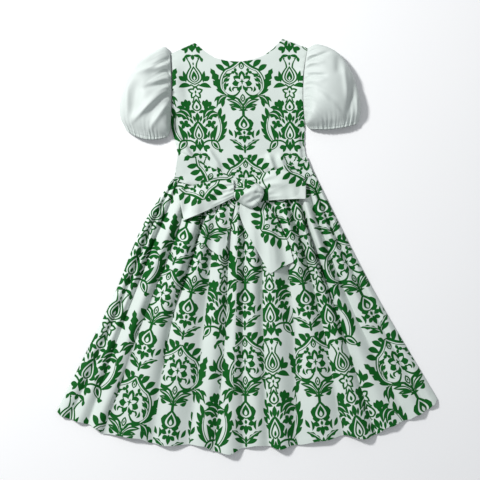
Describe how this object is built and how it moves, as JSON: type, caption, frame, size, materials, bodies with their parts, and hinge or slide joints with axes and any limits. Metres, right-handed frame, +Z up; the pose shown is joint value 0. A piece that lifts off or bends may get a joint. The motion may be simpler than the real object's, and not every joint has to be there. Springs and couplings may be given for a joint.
{
  "type": "child's dress laid flat",
  "caption": "Short puff-sleeve party dress with a gathered skirt and a sash tied in a bow, laid flat on a surface.",
  "frame": {"origin": "centre of the dress's bounding box, on the surface that it lies on", "axes": "+Y up the dress towards the neck, +X to the viewer's right, +Z up from the surface"},
  "size_m": [0.788, 0.8569, 0.04],
  "materials": {
    "printed_cloth": "matte woven cotton with a damask print",
    "sleeve_satin": "soft satin"
  },
  "bodies": {
    "root": {"skirt_front": "printed_cloth", "skirt_back": "printed_cloth", "bodice_front": "printed_cloth", "bodice_back": "printed_cloth", "sash_left": "printed_cloth", "sash_right": "printed_cloth", "bow_loop_left": "printed_cloth", "bow_loop_right": "printed_cloth", "bow_tail_left": "printed_cloth", "bow_tail_right": "printed_cloth", "bow_knot": "printed_cloth", "sleeve_left": "sleeve_satin", "sleeve_right": "sleeve_satin"}
  },
  "joints": []
}
